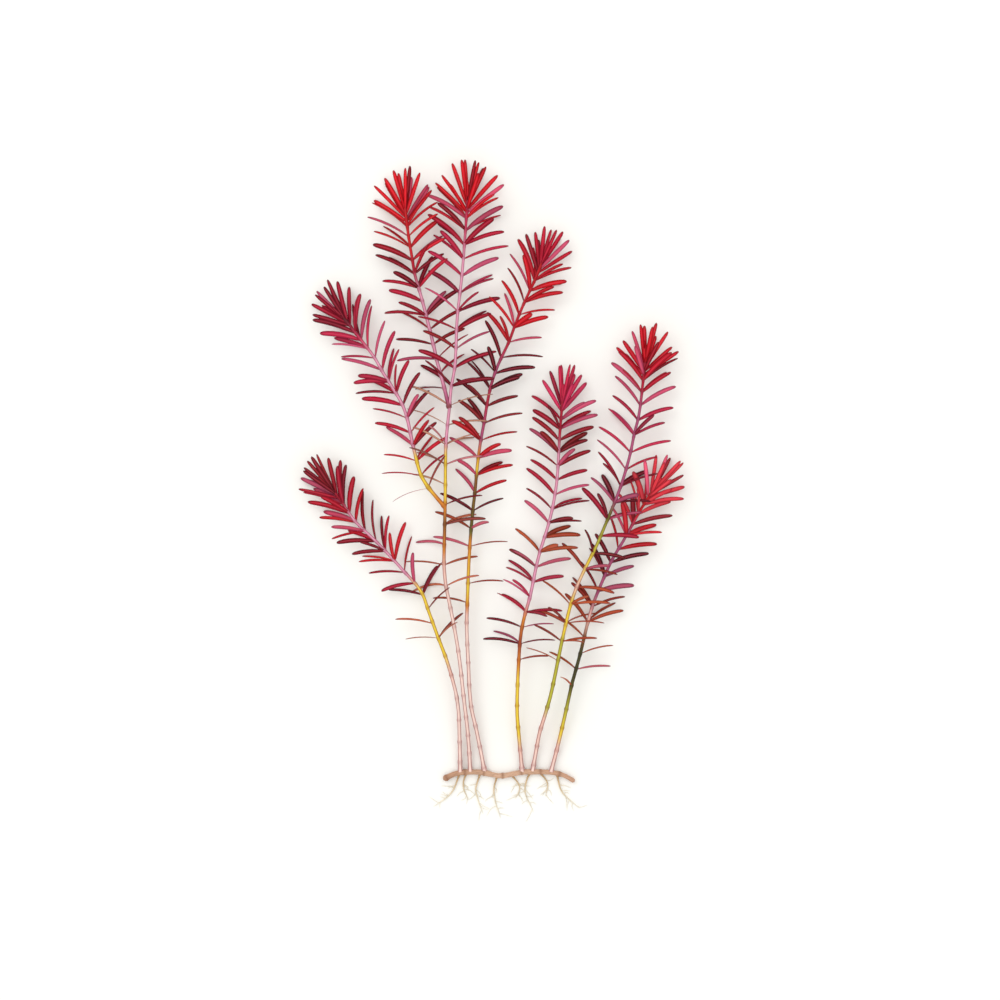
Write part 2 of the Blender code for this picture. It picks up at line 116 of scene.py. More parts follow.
table_form = bmesh.new()
bmesh.ops.create_circle(table_form, cap_ends=True, segments=TABLE_EDGES, radius=TABLE_REACH)
bmesh.ops.translate(table_form, verts=table_form.verts, vec=(0, 0, -TABLE_DROP))
table_mesh = bpy.data.meshes.new("table_top")
table_form.to_mesh(table_mesh)
table_form.free()
table_mesh.materials.append(table_laminate)
table_top = bpy.data.objects.new("table_top", table_mesh)
bpy.context.scene.collection.objects.link(table_top)

tent = bpy.data.worlds.new("light_tent")
tent.use_nodes = True
tent.node_tree.nodes["Background"].inputs["Color"].default_value = (1, 1, 1, 1)
tent.node_tree.nodes["Background"].inputs["Strength"].default_value = TENT_STRENGTH
bpy.context.scene.world = tent

lamp_light = bpy.data.lights.new("soft_lamp", "AREA")
lamp_light.energy = LAMP_WATTS
lamp_light.size = LAMP_WIDTH
lamp = bpy.data.objects.new("soft_lamp", lamp_light)
lamp.location = LAMP_PLACE
lamp.rotation_euler = (-Vector(LAMP_PLACE)).to_track_quat("-Z", "Y").to_euler()
bpy.context.scene.collection.objects.link(lamp)

camera_lens = bpy.data.cameras.new("camera")
camera_lens.lens = LENS_MM
camera_lens.sensor_width = SENSOR_MM
camera_height = SHOOTS_LIE_AT + VIEW_WIDTH * LENS_MM / SENSOR_MM
camera_lens.clip_start, camera_lens.clip_end = NEAREST_AND_FURTHEST_SEEN
camera = bpy.data.objects.new("camera", camera_lens)
camera.location = (*VIEW_MIDDLE, camera_height)
bpy.context.scene.collection.objects.link(camera)
bpy.context.scene.camera = camera
bpy.context.scene.view_settings.view_transform = "Standard"


# The runner
# The old creeping stem that the shoots rise from. It is the plant's own tissue, gone tan and corky,
# and ringed at its joints. It lies on the table on its flattened underside.

SAME_VERTEX = 0.002 * MM
FEWEST_STEPS = 4
RUNNER_SIDES_IN_SOLID = 8
RUNNER_SIDES = 16
RUNNER_STATION = 0.6 * MM
RUNNER_SMOOTHINGS = 6
RUNNER_JOINTS_FROM = 2 * MM
RUNNER_JOINT_EVERY = 9.6 * MM
RUNNER_JOINT_WIDTH = 0.7 * MM
RUNNER_JOINT_SWELL = 0.2
RUNNER_WIDTH_SHARE = 0.98
RUNNER_WANDER = 0.08
WANDER_STATIONS = 5
RUNNER_END_ROUNDING = 1.2 * MM
RUNNER_END_LEAST = 0.2
RUNNER_STOPS = ((0, "B08468"), (30, "CDA68A"), (60, "C2967A"))
RUNNER_RING = "8A6048"
RUNNER_RING_SHARE = 0.75
RUNNER_SEED = 5
ROUND_SECTION = 2.0


def merged_form(node):
    """A solid of the frame as one connected form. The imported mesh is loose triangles."""
    form = bmesh.new()
    form.from_mesh(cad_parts[node].data)
    bmesh.ops.remove_doubles(form, verts=form.verts, dist=SAME_VERTEX)
    form.verts.index_update()
    return form


def rings_from(first, barred=()):
    """The rings of vertices along a solid, each the neighbours of the one before it."""
    seen = set(barred) | set(first)
    rings = [list(first)]
    while rings[-1]:
        after = {e.other_vert(v) for v in rings[-1] for e in v.link_edges} - seen
        seen |= after
        rings.append(sorted(after, key=lambda v: v.index))
    return rings[:-1]


def middle_of(points):
    return sum((Vector(p) for p in points), Vector()) / len(points)


def evenly(points, values, station, passes):
    """A line through the points, smoothed and set out at even steps, its lengths, and the values there."""
    rough = np.array(points)
    lengths = np.concatenate([[0], np.cumsum(np.linalg.norm(np.diff(rough, axis=0), axis=1))])
    even = np.linspace(0, lengths[-1], max(int(lengths[-1] / station), FEWEST_STEPS) + 1)
    line = np.stack([np.interp(even, lengths, rough[:, k]) for k in range(3)], 1)
    for _ in range(passes):
        line[1:-1] = (line[:-2] + 2 * line[1:-1] + line[2:]) / 4
    return line, even, np.interp(even, lengths, values)


def directions(line):
    """The direction of a line at each of its points."""
    along = np.gradient(line, axis=0)
    return along / np.linalg.norm(along, axis=1, keepdims=True)


def level_sides(line):
    """The level direction across a line at each of its points."""
    side = np.cross(directions(line), (0, 0, 1))
    return side / np.linalg.norm(side, axis=1, keepdims=True)


def between(stops, at):
    """The colour at a place between stops, which are (place, hex colour) in rising order."""
    colours = np.array([linear(colour) for _, colour in stops])
    return np.array([np.interp(at, [s for s, _ in stops], colours[:, k]) for k in range(3)]).T


def skeleton(name, strands):
    """The lines that a piece is grown along, in one mesh of points and edges with their attributes.

    A strand is a dict of arrays, one value or vector for each of its points: line, side, half_width,
    tint, and any others, which are single numbers.
    """
    mesh = bpy.data.meshes.new(name)
    counts = [len(s["line"]) for s in strands]
    starts = np.concatenate([[0], np.cumsum(counts)])
    edges = [(start + k, start + k + 1) for start, n in zip(starts, counts) for k in range(n - 1)]
    mesh.from_pydata(np.concatenate([s["line"] for s in strands]).tolist(), edges, [])
    for key in strands[0]:
        values = np.concatenate([s[key] for s in strands])
        if key == "tint":
            opaque = np.concatenate([values, np.ones((len(values), 1))], 1)
            mesh.attributes.new(key, "FLOAT_COLOR", "POINT").data.foreach_set("color", opaque.ravel())
        elif key == "side":
            mesh.attributes.new(key, "FLOAT_VECTOR", "POINT").data.foreach_set("vector", values.ravel())
        elif key != "line":
            mesh.attributes.new(key, "FLOAT", "POINT").data.foreach_set("value", values)
    return mesh


def add_sockets(tree, sizes):
    """The tree's own inputs and output: its geometry, its named sizes and its material."""
    tree.interface.new_socket("Geometry", in_out="INPUT", socket_type="NodeSocketGeometry")
    for name, (kind, value) in sizes.items():
        socket = tree.interface.new_socket(name, in_out="INPUT", socket_type=kind)
        socket.default_value = value
    tree.interface.new_socket("Surface", in_out="INPUT", socket_type="NodeSocketMaterial")
    tree.interface.new_socket("Geometry", in_out="OUTPUT", socket_type="NodeSocketGeometry")
    return add_node(tree, "NodeGroupInput").outputs


def sweep_section(tree, given, section):
    """Sweeps a section along every strand and ends the tree: real mesh, with its surface."""
    width = add_node(tree, "GeometryNodeInputNamedAttribute", {"Name": "half_width"}, data_type="FLOAT")
    side = add_node(tree, "GeometryNodeInputNamedAttribute", {"Name": "side"}, data_type="FLOAT_VECTOR")
    kept = add_node(tree, "GeometryNodeStoreNamedAttribute", {
        "Geometry": section, "Name": "section",
        "Value": add_node(tree, "GeometryNodeInputPosition").outputs[0],
    }, data_type="FLOAT_VECTOR", domain="POINT")
    strands = add_node(tree, "GeometryNodeMeshToCurve", {"Mesh": given["Geometry"]})
    turned = add_node(tree, "GeometryNodeSetCurveNormal", {
        "Curve": strands.outputs[0], "Normal": side.outputs[0]}, mode="FREE")
    swept = add_node(tree, "GeometryNodeCurveToMesh", {
        "Curve": turned.outputs[0], "Profile Curve": kept.outputs[0],
        "Scale": width.outputs[0], "Fill Caps": True})
    real = add_node(tree, "GeometryNodeRealizeInstances", {"Geometry": swept.outputs[0]})
    surfaced = add_node(tree, "GeometryNodeSetMaterial", {
        "Geometry": real.outputs[0], "Material": given["Surface"]})
    add_node(tree, "NodeGroupOutput", {"Geometry": surfaced.outputs[0]})


# A stem, runner or root: a section between a circle (squareness 2) and a rounded square (4 and more).
stem_tree = bpy.data.node_groups.new("grown_stem", "GeometryNodeTree")
given = add_sockets(stem_tree, {
    "Sides": ("NodeSocketInt", RUNNER_SIDES), "Squareness": ("NodeSocketFloat", ROUND_SECTION)})
circle = add_node(stem_tree, "GeometryNodeCurvePrimitiveCircle", {
    "Resolution": given["Sides"], "Radius": 1.0}).outputs[0]
spot = add_node(stem_tree, "GeometryNodeInputPosition").outputs[0]
parts = add_node(stem_tree, "ShaderNodeSeparateXYZ", {0: spot}).outputs
raised = []
for part in (parts["X"], parts["Y"]):
    size = add_node(stem_tree, "ShaderNodeMath", {0: part}, operation="ABSOLUTE").outputs[0]
    raised.append(add_node(stem_tree, "ShaderNodeMath", {
        0: size, 1: given["Squareness"]}, operation="POWER").outputs[0])
total = add_node(stem_tree, "ShaderNodeMath", {0: raised[0], 1: raised[1]}, operation="ADD").outputs[0]
back = add_node(stem_tree, "ShaderNodeMath", {
    0: -1.0, 1: given["Squareness"]}, operation="DIVIDE").outputs[0]
stretch = add_node(stem_tree, "ShaderNodeMath", {0: total, 1: back}, operation="POWER").outputs[0]
outline = add_node(stem_tree, "ShaderNodeVectorMath", {"Vector": spot, "Scale": stretch}, operation="SCALE")
sweep_section(stem_tree, given, add_node(stem_tree, "GeometryNodeSetPosition", {
    "Geometry": circle, "Position": outline.outputs[0]}).outputs[0])


def grown(name, strands, tree, surface, sizes, sharp_degrees=None):
    """Grows a piece along its strands with a node tree, and makes the result a plain mesh."""
    piece = bpy.data.objects.new(name, skeleton(name, strands))
    bpy.context.scene.collection.objects.link(piece)
    growth = piece.modifiers.new("growth", "NODES")
    growth.node_group = tree
    for socket, value in {**sizes, "Surface": surface}.items():
        growth[tree.interface.items_tree[socket].identifier] = value
    seen = piece.evaluated_get(bpy.context.evaluated_depsgraph_get())
    mesh = bpy.data.meshes.new_from_object(seen)
    piece.modifiers.clear()
    piece.data = mesh
    mesh.shade_smooth()
    if sharp_degrees:
        mesh.set_sharp_from_angle(angle=math.radians(sharp_degrees))
    return piece


def rest_on_table(piece):
    """Lifts what would reach through the table."""
    for vertex in piece.data.vertices:
        vertex.co.z = max(vertex.co.z, 0)


def on_body(piece, slot, *nodes):
    """The piece stands for these solids, and is part of the one body."""
    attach(piece, "root")
    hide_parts(*nodes)


def tube_line(node, sides, end):
    """The middle line and the radius of a tube-shaped solid, from the end that is furthest that way."""
    form = merged_form(node)
    first = sorted(form.verts, key=lambda v: -v.co.dot(Vector(end)))[:sides]
    line, radii = [], []
    for around in rings_from(first):
        corners = [v.co.copy() for v in around]
        centre = middle_of(corners)
        highest = max(c.z for c in corners)
        radius = float(np.mean([(c - centre).length for c in corners if c.z >= centre.z]))
        line.append(Vector((centre.x, centre.y, max(centre.z, highest - radius))))
        radii.append(radius)
    form.free()
    return line, radii


def mottled_tint(tree, pattern, darkest, lightest):
    """The colour that a piece has been grown with, darkened and lightened by a noise pattern."""
    tint = add_node(tree, "ShaderNodeAttribute", attribute_name="tint").outputs["Color"]
    light = add_node(tree, "ShaderNodeMapRange", {
        "Value": pattern, "From Min": 0.3, "From Max": 0.7, "To Min": darkest, "To Max": lightest})
    return add_node(tree, "ShaderNodeVectorMath", {
        "Vector": tint, "Scale": light.outputs[0]}, operation="SCALE").outputs[0]


def streaks_along(tree, per_half_width, per_mm, detail, roughness):
    """A pattern of streaks along a grown piece: so many to its half width, and to a mm of its length."""
    section = add_node(tree, "ShaderNodeAttribute", attribute_name="section").outputs["Vector"]
    along = add_node(tree, "ShaderNodeAttribute", attribute_name="along").outputs["Fac"]
    round_about = add_node(tree, "ShaderNodeVectorMath", {
        "Vector": section, "Scale": per_half_width}, operation="SCALE").outputs[0]
    lengthwise = add_node(tree, "ShaderNodeMath", {0: along, 1: per_mm}, operation="MULTIPLY").outputs[0]
    lift = add_node(tree, "ShaderNodeCombineXYZ", {"Z": lengthwise}).outputs[0]
    place = add_node(tree, "ShaderNodeVectorMath", {0: round_about, 1: lift}, operation="ADD").outputs[0]
    return add_node(tree, "ShaderNodeTexNoise", {
        "Vector": place, "Scale": 1.0, "Detail": detail, "Roughness": roughness}).outputs["Fac"]


def finish_surface(tree, shader, colour, relief, strength, depth, roughness, gloss):
    """Gives the shader its colour, the relief of a pattern and its gloss."""
    bump = add_node(tree, "ShaderNodeBump", {"Height": relief, "Strength": strength, "Distance": depth})
    tree.links.new(colour, shader.inputs["Base Color"])
    tree.links.new(bump.outputs[0], shader.inputs["Normal"])
    shader.inputs["Roughness"].default_value = roughness
    shader.inputs["Specular IOR Level"].default_value = gloss


# Corky skin of an old creeping stem: dull, tan, darker in the joint rings. The cork's streaks, 0.3 mm
# wide and 2.5 mm long, are as fine as the picture shows.
cork_skin, tree, shader = new_surface("corky_runner_skin")
streaks = streaks_along(tree, per_half_width=4.8, per_mm=0.4, detail=4, roughness=0.6)
streaked = mottled_tint(tree, streaks, darkest=0.62, lightest=1.2)
joint = add_node(tree, "ShaderNodeAttribute", attribute_name="joint").outputs["Fac"]
ringed = add_node(tree, "ShaderNodeMix", {
    0: joint, 6: streaked, 7: [*linear(RUNNER_RING), 1]}, data_type="RGBA").outputs[2]
finish_surface(tree, shader, ringed, streaks, strength=0.5, depth=0.15 * MM, roughness=0.7, gloss=0.3)

runner_middles, runner_radii = tube_line("runner", RUNNER_SIDES_IN_SOLID, (-1, 0, 0))
line, along_runner, radius = evenly(runner_middles, runner_radii, RUNNER_STATION, RUNNER_SMOOTHINGS)
joint_places = np.arange(RUNNER_JOINTS_FROM, along_runner[-1], RUNNER_JOINT_EVERY)
joint = sum(np.exp(-((along_runner - p) / RUNNER_JOINT_WIDTH) ** 2) for p in joint_places)
ends = np.minimum(along_runner, along_runner[-1] - along_runner) / RUNNER_END_ROUNDING
rounding = np.maximum(np.sqrt(1 - (1 - np.clip(ends, 0, 1)) ** 2), RUNNER_END_LEAST)
chance = random.Random(RUNNER_SEED)
wander = np.array([chance.uniform(-1, 1) for _ in along_runner])
wander = np.convolve(wander, np.ones(WANDER_STATIONS) / WANDER_STATIONS, mode="same")
width_share = RUNNER_WIDTH_SHARE + RUNNER_WANDER * wander + RUNNER_JOINT_SWELL * joint
runner_strand = {
    "line": line,
    "side": level_sides(line),
    "half_width": radius * rounding * width_share,
    "tint": between(RUNNER_STOPS, along_runner / MM),
    "along": along_runner / MM,
    "joint": np.clip(joint, 0, 1) * RUNNER_RING_SHARE,
}
runner_piece = grown("runner_stem", [runner_strand], stem_tree, cork_skin, {
    "Sides": RUNNER_SIDES, "Squareness": ROUND_SECTION})
rest_on_table(runner_piece)
on_body(runner_piece, "runner", "runner")


# The roots
# Fine cream roots from the joints of the runner, with hair-thin rootlets. They are soft living
# tissue, matt all over, and they lie as they fell when the plant was lifted.

ROOT_SIDES_IN_SOLID = 5
ROOT_SIDES = 6
ROOT_STATION = 0.8 * MM
ROOT_SMOOTHINGS = 3
ROOT_INTO_RUNNER = 1.3 * MM
ROOT_WANDER = 0.35 * MM
ROOT_MOTTLE_MM = 2.5
ROOT_STOPS = ((0, "B08A60"), (5, "CDB38C"), (14, "E2D6BC"), (30, "EFE8D8"))
ROOT_SEED = 9
ROOTLETS_EACH = 7
ROOTLETS_FROM_SHARE = 0.25
ROOTLETS_OVER_SHARE = 0.7
ROOTLET_STATIONS = 8
ROOTLET_DEGREES = (35, 75)
ROOTLET_LENGTH = (3.0 * MM, 7.5 * MM)
ROOTLET_RADIUS = 0.14 * MM
ROOTLET_DOWN_BY_SHARE = 0.4
ROOTLET_SWAY = 0.9 * MM
ROOTLET_SWAY_TURN = (2, 5)

# A taper is shares of a length, and the shares of the thickness there.
ROOT_TAPER = ((0, 0.1, 0.8, 1), (1.15, 0.85, 0.7, 0.25))
ROOTLET_TAPER = ((0, 0.7, 1), (1, 0.8, 0.3))

# A rootlet's foot and tip have the colour that its root has this much further on.
ROOTLET_PALER_MM = (6, 18)


def wavy(count, amount, chance):
    """A smooth wander from side to side, nothing at its start."""
    steps = np.array([chance.uniform(-1, 1) for _ in range(count)])
    smooth = np.convolve(np.cumsum(steps), np.ones(WANDER_STATIONS) / WANDER_STATIONS, mode="same")
    smooth -= smooth[0]
    return smooth / float(np.abs(smooth).max()) * amount


# Root skin: cream, matt, with a brown cast towards the runner.
root_skin, tree, shader = new_surface("soft_root_skin")
place = add_node(tree, "ShaderNodeTexCoord").outputs["Object"]
blotches = add_node(tree, "ShaderNodeTexNoise", {
    "Vector": place, "Scale": 1000 / ROOT_MOTTLE_MM, "Detail": 3}).outputs["Fac"]
blotched = mottled_tint(tree, blotches, darkest=0.8, lightest=1.06)
finish_surface(tree, shader, blotched, blotches, strength=0.3, depth=0.1 * MM, roughness=0.6, gloss=0.3)

root_nodes = sorted(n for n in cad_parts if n.startswith("root_"))
chance = random.Random(ROOT_SEED)
root_strands = []
for node in root_nodes:
    middles, radii = tube_line(node, ROOT_SIDES_IN_SOLID, (0, 1, 0))
    into = middles[0] + (middles[0] - middles[1]).normalized() * ROOT_INTO_RUNNER
    line, lengths, radius = evenly([into, *middles], [radii[0], *radii], ROOT_STATION, ROOT_SMOOTHINGS)
    line = line + level_sides(line) * wavy(len(line), ROOT_WANDER, chance)[:, None]
    radius = radius * np.interp(lengths / lengths[-1], *ROOT_TAPER)
    line[:, 2] = np.maximum(line[:, 2], radius)
    root_strands.append({
        "line": line, "side": level_sides(line), "half_width": radius,
        "tint": between(ROOT_STOPS, lengths / MM)})
    for number in range(ROOTLETS_EACH):
        share = ROOTLETS_FROM_SHARE + ROOTLETS_OVER_SHARE * number / ROOTLETS_EACH
        index = min(int(len(line) * share) + chance.choice((0, 1)), len(line) - 2)
        forward = directions(line)[index]
        turn = chance.choice((-1, 1)) * chance.uniform(*ROOTLET_DEGREES)
        heading = Matrix.Rotation(math.radians(turn), 3, "Z") @ Vector(forward)
        reach = chance.uniform(*ROOTLET_LENGTH)
        shares = np.linspace(0, 1, ROOTLET_STATIONS)
        thread = line[index] + np.outer(shares * reach, np.array(heading))
        thread[:, 2] = np.interp(shares, (0, ROOTLET_DOWN_BY_SHARE), (line[index][2], ROOTLET_RADIUS))
        sway = np.sin(shares * chance.uniform(*ROOTLET_SWAY_TURN)) * chance.uniform(-1, 1) * ROOTLET_SWAY
        thread = thread + level_sides(thread) * sway[:, None]
        further_on = np.interp(shares, (0, 1), ROOTLET_PALER_MM)
        root_strands.append({
            "line": thread, "side": level_sides(thread),
            "half_width": np.interp(shares, *ROOTLET_TAPER) * ROOTLET_RADIUS,
            "tint": between(ROOT_STOPS, lengths[index] / MM + further_on)})

root_piece = grown("roots_and_rootlets", root_strands, stem_tree, root_skin, {
    "Sides": ROOT_SIDES, "Squareness": ROUND_SECTION})
on_body(root_piece, "roots", *root_nodes)


# The stems of the shoots
# Slender four-sided stems of soft living tissue, swollen and ringed at each joint, where the whorls
# of leaves stand. Six rise from the runner and two fork from another shoot; all are grown as one.

STEM_CORNERS_IN_SOLID = 4
STEM_SIDES = 12
STEM_SQUARENESS = 3.2
STEM_STATION = 1.1 * MM
STEM_SMOOTHINGS = 8
STEM_INTO_RUNNER = 1.5 * MM
LONGEST_FORK = 11 * MM
STEM_FLARE = 0.3
STEM_FLARE_LENGTH = 3 * MM
STEM_RIDGE_SHADE = (0.42, 0.2, 0.24)
STEM_SEED = 100
BETWEEN_JOINTS_SHARE = 0.97
JOINT_WIDTH = 0.8 * MM
JOINT_SWELL = 0.3
JOINT_SHADE_SHARE = 0.5
LOWEST_JOINT = 10 * MM
BARE_JOINTS_EVERY = (8.5 * MM, 12.5 * MM)
LEAF_CORNER_LONGEST = 1.6 * MM
LEAF_SIDE_SHORTEST = 2.2 * MM

# Distances from a stem's tip, and the shares of its width there.
STEM_TIP_TAPER = ((0, 0.8 * MM, 2.5 * MM), (0.25, 0.75, 1))

# Joints keep to steps of this length, so that the leaves of a whorl share one.
JOINT_STEP = 1.5 * MM

# The colours of the plant. A shoot's tissue turns from red at its growing tip to yellow, amber and
# olive lower down, where the light no longer reaches it.
COLOURS = {
    "coral": "DE3A44",
    "scarlet": "C80C18",
    "crimson": "AC1030",
    "rose": "C43056",
    "burgundy": "5C0A18",
    "brick": "861C1A",
    "rust": "96391C",
    "ochre": "B4542A",
    "salmon": "C06E4C",
    "faded": "C49476",
    "pink": "D893AC",
    "orchid": "D4688C",
    "plum": "A84C72",
    "blush": "E8CABE",
    "flesh": "DDB0A0",
    "yellow": "E2C238",
    "amber": "CC7C26",
    "umber": "7C4C1C",
    "lime": "B0AC34",
    "olive": "625E1C",
    "moss": "3E3C16",
}

# The colour of each stem at heights up the clump, in millimetres from the runner.
STEM_COLOURS = {
    "shoot_1": "0 blush, 40 blush, 50 flesh, 58 yellow, 90 yellow, 98 pink, 126 pink, 134 crimson",
    "shoot_2": "0 blush, 80 blush, 102 flesh, 110 amber, 124 umber, 131 amber, 138 yellow, "
               "157 yellow, 164 pink, 256 pink, 272 rose",
    "side_shoot_1": "128 amber, 136 amber, 142 yellow, 156 yellow, 162 pink, 206 pink, 216 rose, "
                    "226 burgundy",
    "side_shoot_2": "178 umber, 186 plum, 196 pink, 238 pink, 250 crimson, 262 scarlet",
    "shoot_3": "0 blush, 70 blush, 78 flesh, 82 amber, 90 yellow, 114 amber, 119 olive, "
               "146 umber, 151 yellow, 158 amber, 166 plum, 186 crimson, 200 plum, 212 crimson, "
               "254 scarlet",
    "shoot_4": "0 blush, 10 flesh, 18 yellow, 44 yellow, 53 amber, 64 rust, 76 amber, 86 pink, "
               "158 pink, 168 crimson",
    "shoot_5": "0 blush, 26 flesh, 32 lime, 64 lime, 70 yellow, 84 yellow, 92 flesh, 104 yellow, "
               "114 lime, 128 olive, 136 plum, 180 plum, 192 crimson",
    "shoot_6": "0 blush, 12 flesh, 18 yellow, 30 lime, 40 olive, 46 moss, 60 moss, 66 umber, "
               "76 flesh, 88 plum, 118 plum, 128 scarlet",
}
RUNNER_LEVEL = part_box("runner")[1].y
FORKED_FROM = {"side_shoot_1": "shoot_2", "side_shoot_2": "shoot_2"}


def colour_stops(text):
    """The stops that a row of text names: (height in millimetres, hex colour)."""
    pairs = [stop.split() for stop in text.split(",")]
    return [(float(height), COLOURS[colour]) for height, colour in pairs]


def read_shoot(node):
    """A shoot as its solid has it: its stem's middles and half widths, from the foot up, and its leaves.

    At the tip of every leaf is a vertex with three edges, of which the short one ends at the leaf's
    other tip vertex, and the long ones at its margin and its midrib.
    """
    form = merged_form(node)
    leaves, leaf_vertices = [], set()
    for corner in form.verts:
        edges = sorted(corner.link_edges, key=lambda e: e.calc_length())
        if len(edges) != 3 or edges[0].calc_length() > LEAF_CORNER_LONGEST:
            continue
        if edges[1].calc_length() < LEAF_SIDE_SHORTEST:
            continue
        other = edges[0].other_vert(corner)
        near = {e.other_vert(corner) for e in corner.link_edges} - {other}
        far = {e.other_vert(other) for e in other.link_edges} - {corner}
        margin = (far - near).pop()
        opposite = max(near, key=lambda v: (v.co - margin.co).length)
        rib = (near - {opposite}).pop()
        own = {corner, other, margin, opposite, rib}
        foot = {e.other_vert(v) for v in (margin, opposite, rib) for e in v.link_edges} - own
        leaves.append({
            "foot": middle_of([v.co for v in sorted(foot, key=lambda v: v.index)]),
            "middle": (margin.co + opposite.co) / 2,
            "tip": (corner.co + other.co) / 2,
            "under": (rib.co - (margin.co + opposite.co) / 2).normalized(),
            "breadth": (margin.co - opposite.co).length,
        })
        leaf_vertices |= own
    # One vertex closes the stem's tip, with an edge to each corner. Of the vertices that could be it, it
    # starts the chain with the most rings of four corners.
    others = [v for v in form.verts if v not in leaf_vertices]
    tips = [v for v in others if len(v.link_edges) == STEM_CORNERS_IN_SOLID]
    chains = [rings_from([tip], leaf_vertices) for tip in tips]
    rings = max(chains, key=lambda chain: sum(len(ring) == STEM_CORNERS_IN_SOLID for ring in chain))[::-1]
    middles = [middle_of([v.co for v in ring]) for ring in rings]
    halves = []
    for ring, middle, heading in zip(rings, middles, directions(np.array(middles))):
        reaches = [np.linalg.norm(np.cross(v.co - middle, heading)) for v in ring]
        halves.append(float(np.mean(reaches)) / math.sqrt(2))
    halves[-1] = halves[-2]
    form.free()
    return middles, halves, leaves


def fork_start(middles, line, lengths):
    """Where a fork leaves the middle line of the shoot that it grows from, by its first direction."""
    foot = np.array(middles[0])
    heading = np.array((middles[1] - middles[0]).normalized())
    nearest = int(np.argmin(np.linalg.norm(line - foot, axis=1)))
    angle = math.acos(float(heading @ directions(line)[nearest]))
    run = min(float(np.linalg.norm(line[nearest] - foot)) / math.tan(angle), LONGEST_FORK)
    return Vector([float(np.interp(lengths[nearest] - run, lengths, line[:, k])) for k in range(3)])


# Living stem skin: satin and wet. Its four corners carry darker ridges, so that it looks outlined. Its
# streaks, 0.3 mm wide and 3.3 mm long, are drawn as coarse as they have to be to show.
stem_skin, tree, shader = new_surface("living_stem_skin")
streaks = streaks_along(tree, per_half_width=3.3, per_mm=0.3, detail=3, roughness=0.5)
streaked = mottled_tint(tree, streaks, darkest=0.8, lightest=1.1)
section = add_node(tree, "ShaderNodeAttribute", attribute_name="section").outputs["Vector"]
joint = add_node(tree, "ShaderNodeAttribute", attribute_name="joint").outputs["Fac"]
parts = add_node(tree, "ShaderNodeSeparateXYZ", {0: section}).outputs
sizes = [
    add_node(tree, "ShaderNodeMath", {0: parts[axis]}, operation="ABSOLUTE").outputs[0] for axis in "XY"]
nearer = add_node(tree, "ShaderNodeMath", {0: sizes[0], 1: sizes[1]}, operation="MINIMUM").outputs[0]
ridge = add_node(tree, "ShaderNodeMapRange", {
    "Value": nearer, "From Min": 0.4, "From Max": 0.72, "To Min": 0.0, "To Max": 0.92},
    interpolation_type="SMOOTHSTEP").outputs[0]
darker = add_node(tree, "ShaderNodeVectorMath", {
    0: streaked, 1: STEM_RIDGE_SHADE}, operation="MULTIPLY").outputs[0]
marked = add_node(tree, "ShaderNodeMath", {0: ridge, 1: joint}, operation="MAXIMUM").outputs[0]
edged = add_node(tree, "ShaderNodeMix", {0: marked, 6: streaked, 7: darker}, data_type="RGBA").outputs[2]
finish_surface(tree, shader, edged, streaks, strength=0.3, depth=0.1 * MM, roughness=0.45, gloss=0.25)

shoot_nodes = sorted(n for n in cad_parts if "shoot_" in n)
shoots = {}
for number, node in enumerate(shoot_nodes):
    middles, halves, leaves = read_shoot(node)
    if node in FORKED_FROM:
        parent = shoots[FORKED_FROM[node]]
        start = fork_start(middles, parent["line"], parent["lengths"])
    else:
        start = middles[0] + (middles[0] - middles[1]).normalized() * STEM_INTO_RUNNER
    line, lengths, half = evenly([start, *middles], [halves[0], *halves], STEM_STATION, STEM_SMOOTHINGS)
    feet = np.array([leaf["foot"] for leaf in leaves])
    nearest = [int(np.argmin(np.linalg.norm(line - foot, axis=1))) for foot in feet]
    chance = random.Random(STEM_SEED + number)
    joints = [k * JOINT_STEP for k in sorted({round(lengths[k] / JOINT_STEP) for k in nearest})]
    lowest = joints[0]
    while lowest > LOWEST_JOINT:
        lowest -= chance.uniform(*BARE_JOINTS_EVERY)
        joints.append(lowest)
    joint = np.clip(sum(np.exp(-((lengths - p) / JOINT_WIDTH) ** 2) for p in joints), 0, 1)
    flare = 1 + STEM_FLARE * np.exp(-lengths / STEM_FLARE_LENGTH)
    taper = np.interp(lengths[-1] - lengths, *STEM_TIP_TAPER)
    height = (line[:, 1] - RUNNER_LEVEL) / MM
    shoots[node] = {"line": line, "lengths": lengths, "leaves": leaves}
    stem_strand = {
        "line": line,
        "side": level_sides(line),
        "half_width": half * flare * taper * (BETWEEN_JOINTS_SHARE + JOINT_SWELL * joint),
        "tint": between(colour_stops(STEM_COLOURS[node]), height),
        "along": lengths / MM,
        "joint": joint * JOINT_SHADE_SHARE,
    }
    stem_piece = grown(f"{node}_stem", [stem_strand], stem_tree, stem_skin, {
        "Sides": STEM_SIDES, "Squareness": STEM_SQUARENESS})
    on_body(stem_piece, "shoots", node)


# The leaves
# Narrow strap-shaped leaves in whorls of up to four, closing up into a fan of young ones at each
# growing tip. Thin waxy blades, folded a little along the midrib, which stands out underneath.

